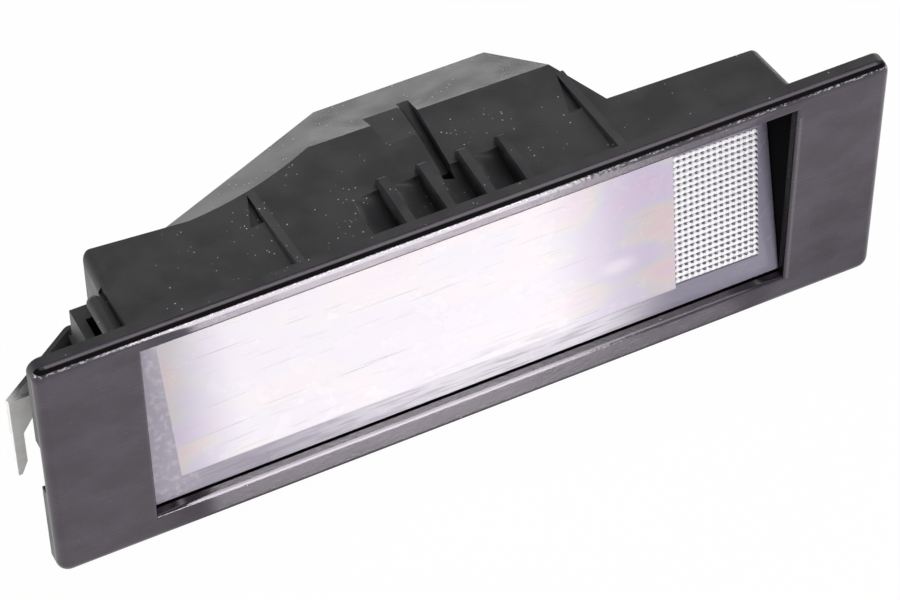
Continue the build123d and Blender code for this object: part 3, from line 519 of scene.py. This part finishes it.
def lens_finish():
    """Clear lens with its lit inside painted on: pale window with painted shade at its ends and faint
    rainbow bands, grey border with painted light and shade, domes with painted light and shade.
    """
    finish, tree, shader, place = new_finish("clear_lens", 0.2, IOR=1.5)
    axes = parts(tree, place)
    across = axes["X"]
    up = axes["Z"]

    # Painted light of the lit inside behind the window, with painted shade fading it at both ends
    painted_shade_at_ends = plus(tree, ramp(tree, across, *WINDOW_PAINTED_SHADE_RIGHT), ramp(tree, across, *WINDOW_PAINTED_SHADE_LEFT))
    window = mixed(tree, painted_shade_at_ends, (0.93, 0.87, 0.92), (0.62, 0.525, 0.61))
    phase = clouds(tree, stretched(tree, place, (0.6, 1, 1.2)), 6.0, detail=1.0, start=0.15, end=0.85)
    bands = wire(tree, "ValToRGB", {"Fac": phase})
    stops = bands.color_ramp.elements
    stops[0].color = (0.97, 0.62, 0.82, 1)
    stops[1].color = (0.80, 0.66, 0.98, 1)
    hues = {0.3: (0.98, 0.92, 0.62, 1), 0.45: (0.70, 0.95, 0.76, 1), 0.6: (0.66, 0.78, 0.99, 1)}
    for spot, hue in hues.items():
        stops.new(spot).color = hue
    tint = plus(tree, times(tree, painted_shade_at_ends, 0.3), 0.08)
    window = mixed(tree, tint, window, bands.outputs["Color"], "MULTIPLY")

    # Rubbed lower part, a spot of glare, scratches along the lens and slanted nicks
    rub = clouds(tree, stretched(tree, place, (0.1, 1, 1.6)), 0.6, detail=3.0, start=0.56, end=0.72)
    low_part = ramp(tree, up, *RUB_LEVELS)
    window = mixed(tree, times(tree, times(tree, rub, low_part), 0.4), window, (0.55, 0.52, 0.6))
    glare = wire(tree, "VectorMath", {0: place, 1: GLARE_PLACE}, operation="SUBTRACT").outputs[0]
    glare = stretched(tree, glare, (0.4, 0, 1))
    glare = wire(tree, "VectorMath", {0: glare}, operation="LENGTH").outputs["Value"]
    window = mixed(tree, ramp(tree, glare, *GLARE_REACH, 0.0, 0.3), window, (0.98, 0.97, 0.98))
    scratch = clouds(tree, stretched(tree, place, (0.06, 1, 2.0)), 0.5, detail=2.0, start=0.66, end=0.72)
    window = mixed(tree, times(tree, scratch, 0.35), window, (0.5, 0.47, 0.55))
    slanted = wire(tree, "Mapping", {"Vector": place, "Rotation": (0, NICK_TURN, 0),
                                     "Scale": (0.05, 1, 2.2)})
    nick = clouds(tree, slanted.outputs[0], 0.6, detail=2.0, start=0.69, end=0.74)
    window = mixed(tree, times(tree, nick, 0.45), window, (0.42, 0.38, 0.46))

    # Border over the dark seat: painted light in its middle and painted shade towards its right end,
    # streaked at the bottom and hazy at the left
    border = mixed(tree, ramp(tree, across, *BORDER_PAINTED_SHADE), (0.36, 0.33, 0.40), (0.22, 0.20, 0.26))
    lit = band(tree, across, LIT_LEFT, LIT_RIGHT)
    border = mixed(tree, lit, border, (0.76, 0.72, 0.78))
    streak = clouds(tree, stretched(tree, place, (0.1, 1, 1.6)), 0.5, detail=5.0, start=0.45, end=0.65)
    streak = times(tree, streak, ramp(tree, up, *STREAK_LEVELS))
    border = mixed(tree, times(tree, streak, 0.45), border, (0.24, 0.22, 0.28))
    haze = clouds(tree, place, 0.7, detail=6.0, start=0.45, end=0.75)
    haze = times(tree, haze, ramp(tree, across, *HAZE_LEFT))
    border = mixed(tree, times(tree, haze, 0.5), border, (0.62, 0.59, 0.66))

    # Places of the window and of the block of domes
    bottom = WINDOW_BOTTOM * cos(LENS_TILT)
    in_window = times(tree, ramp(tree, across, WINDOW_LEFT - WINDOW_BLUR, WINDOW_LEFT + WINDOW_BLUR),
                      ramp(tree, up, bottom - WINDOW_BLUR, bottom + WINDOW_BLUR))
    row = measure(tree, place, (cos(DOT_COLUMN_LEAN), 0, -sin(DOT_COLUMN_LEAN) / cos(LENS_TILT)))
    column = measure(tree, place, (sin(DOT_ROW_TURN), 0, cos(DOT_ROW_TURN) / cos(LENS_TILT)))
    middle_row = DOT_CENTRE[0] * cos(DOT_COLUMN_LEAN) - DOT_CENTRE[1] * sin(DOT_COLUMN_LEAN)
    middle_column = DOT_CENTRE[0] * sin(DOT_ROW_TURN) + DOT_CENTRE[1] * cos(DOT_ROW_TURN)
    in_block = times(tree, within(tree, row, middle_row, BLOCK_HALF_WIDTH),
                     within(tree, column, middle_column, BLOCK_HALF_HEIGHT))
    block_left = middle_row - BLOCK_HALF_WIDTH
    before_block = ramp(tree, row, block_left + BLOCK_BLUR, block_left - BLOCK_BLUR)
    in_window = times(tree, in_window, before_block)
    color = mixed(tree, in_window, border, window)

    # White bells painted lit, joined at their feet, with painted shade between their tops and between their
    # rows
    aside = absolute(tree, minus(tree, cell_share(tree, row, block_left, DOT_PITCH), 0.5))
    rise = cell_share(tree, column, middle_column - BLOCK_HALF_HEIGHT, DOT_PITCH)
    shoulder = ramp(tree, aside, 0.1, 0.46, 0.92, 0.54)
    painted_shade_between_domes = ramp(tree, minus(tree, rise, shoulder), -0.04, 0.06)
    dome = mixed(tree, painted_shade_between_domes, (0.94, 0.92, 0.95), (0.09, 0.08, 0.11))
    color = mixed(tree, in_block, color, dome)
    tree.links.new(color, shader.inputs["Base Color"])
    wear = clouds(tree, place, 3.0)
    tree.links.new(plus(tree, times(tree, wear, 0.15), 0.15), shader.inputs["Roughness"])
    bumped(tree, shader, plus(tree, times(tree, rub, 0.5), times(tree, streak, 0.5)), 0.01)
    return finish


def clip_finish():
    """Satin spring steel, with painted shade towards its root and along its upper edge."""
    finish, tree, shader, place = new_finish("spring_steel", 0.45, Metallic=0.05)
    axes = parts(tree, place)
    facing = parts(tree, wire(tree, "NewGeometry").outputs["Normal"])
    dull = clouds(tree, place, 1.5)
    tone = mixed(tree, dull, (0.98, 0.97, 0.95), (0.88, 0.87, 0.85))
    # Painted shade along the upper edge of the strip and towards the root
    edge = times(tree, ramp(tree, facing["Z"], 0.8, 0.95), ramp(tree, axes["X"], *CLIP_PAINTED_SHADE_EDGE_LEFT, 0.3, 0.95))
    tone = mixed(tree, ramp(tree, axes["Y"], *CLIP_PAINTED_SHADE_ROOT, 0.0, 0.85), tone, (0.10, 0.09, 0.08))
    tone = mixed(tree, edge, tone, (0.03, 0.03, 0.03))
    tree.links.new(tone, shader.inputs["Base Color"])
    tree.links.new(plus(tree, times(tree, dull, 0.1), 0.4), shader.inputs["Roughness"])
    drawn = clouds(tree, stretched(tree, place, (0.3, 0.3, 1.5)), 0.3, detail=3.0)
    bumped(tree, shader, drawn, 0.001)
    return finish


def metal_finish(name, color, dark, roughness, draw):
    """Bare metal with marks drawn along it and dull patches."""
    finish, tree, shader, place = new_finish(name, roughness, Metallic=1.0)
    marks = clouds(tree, stretched(tree, place, draw), 0.3, detail=3.0, start=0.35, end=0.65)
    stain = clouds(tree, place, 2.5, start=0.45, end=0.75)
    tone = mixed(tree, times(tree, stain, 0.5), color, dark)
    tone = mixed(tree, times(tree, marks, 0.12), tone, dark)
    tree.links.new(tone, shader.inputs["Base Color"])
    tree.links.new(plus(tree, times(tree, marks, 0.15), roughness), shader.inputs["Roughness"])
    bumped(tree, shader, marks, 0.004)
    return finish


def glass_finish():
    """Thin bulb glass, a little smoky in places."""
    finish, tree, shader, place = new_finish("bulb_glass", 0.03, IOR=1.45, Transmission_Weight=1.0)
    smoke = clouds(tree, place, 4.0)
    tree.links.new(mixed(tree, smoke, (0.96, 0.97, 0.97), (0.86, 0.87, 0.88)), shader.inputs["Base Color"])
    tree.links.new(plus(tree, times(tree, smoke, 0.05), 0.02), shader.inputs["Roughness"])
    bumped(tree, shader, smoke, 0.005)
    return finish


dress(lens_plate, lens_finish())
dress(nodes["front_bezel"], bezel_finish())
dress(nodes["housing"], housing_finish())
dress(nodes["spring_clip"], clip_finish())
dress(nodes["reflector"],
      metal_finish("bright_reflector", (0.88, 0.88, 0.89), (0.66, 0.66, 0.68), 0.16, (0.2, 1, 1)))
dress(nodes["bulb_glass"], glass_finish())
cap_finish = metal_finish("plated_cap", (0.74, 0.72, 0.69), (0.44, 0.41, 0.37), 0.25, (1, 0.2, 0.2))
for cap in ("bulb_cap_left", "bulb_cap_right"):
    dress(nodes[cap], cap_finish)
dress(nodes["bulb_filament"],
      metal_finish("filament_wire", (0.40, 0.39, 0.38), (0.2, 0.2, 0.2), 0.35, (2, 0.5, 0.5)))
brass = metal_finish("contact_brass", (0.78, 0.62, 0.34), (0.45, 0.33, 0.16), 0.28, (0.2, 1, 1))
for strip in ("contact_left", "contact_right"):
    dress(nodes[strip], brass)


# Floor: white to the camera and in reflections, with a little of the shadow left
def make_floor():
    bpy.ops.object.select_all(action="DESELECT")
    bpy.ops.mesh.primitive_plane_add(size=FLOOR_SIZE, location=(0, 0, cad_box[0][2] - FLOOR_GAP))
    floor = bpy.context.object
    floor.name = "studio_floor"
    finish, tree, shader, _ = new_finish("pale_floor", 0.9)
    shader.inputs["Base Color"].default_value = (0.9, 0.9, 0.9, 1)
    rays = wire(tree, "LightPath")
    seen = plus(tree, rays.outputs["Is Camera Ray"], rays.outputs["Is Glossy Ray"])
    seen = plus(tree, seen, rays.outputs["Is Transmission Ray"])
    glow = wire(tree, "Emission", {"Color": (1, 1, 1, 1), "Strength": 1.0})
    share = times(tree, seen, FLOOR_GLOW)
    blend = wire(tree, "MixShader", {0: share, 1: shader.outputs[0], 2: glow.outputs[0]})
    tree.links.new(blend.outputs[0], tree.nodes["Material Output"].inputs["Surface"])
    dress(floor, finish)


# Studio: bright at the horizon and darker overhead
def make_studio():
    world = bpy.data.worlds.new("studio")
    bpy.context.scene.world = world
    world.use_nodes = True
    tree = world.node_tree
    facing = parts(tree, wire(tree, "TexCoord").outputs["Generated"])
    level = ramp(tree, facing["Z"], *SKY_HEIGHTS, *SKY_LEVELS)
    tree.links.new(level, tree.nodes["Background"].inputs["Strength"])
    tree.nodes["Background"].inputs["Color"].default_value = (1, 1, 1, 1)


def soft_light(name, place, target, size, power):
    lamp = bpy.data.lights.new(name, "AREA")
    lamp.shape = "RECTANGLE"
    lamp.size, lamp.size_y = size
    lamp.energy = power
    stand = bpy.data.objects.new(name, lamp)
    bpy.context.scene.collection.objects.link(stand)
    stand.location = place
    stand.rotation_euler = (Vector(target) - Vector(place)).to_track_quat("-Z", "Y").to_euler()


def make_camera():
    camera = bpy.data.cameras.new("view")
    camera.sensor_width = CAMERA_SENSOR
    camera.lens = CAMERA_LENS
    camera.clip_start = CAMERA_NEAR
    stand = bpy.data.objects.new("view", camera)
    bpy.context.scene.collection.objects.link(stand)
    right = Vector(CAMERA_RIGHT).normalized()
    ahead = Vector(CAMERA_AHEAD).normalized()
    up = right.cross(ahead).normalized()
    right = ahead.cross(up).normalized()
    turn = Matrix((right, up, -ahead)).transposed().to_4x4()
    stand.matrix_world = Matrix.Translation(Vector(CAMERA_PLACE) * MM) @ turn
    bpy.context.scene.camera = stand


make_floor()
make_studio()
for light in LIGHTS:
    soft_light(*light)
make_camera()
bpy.context.scene.view_settings.view_transform = "Standard"
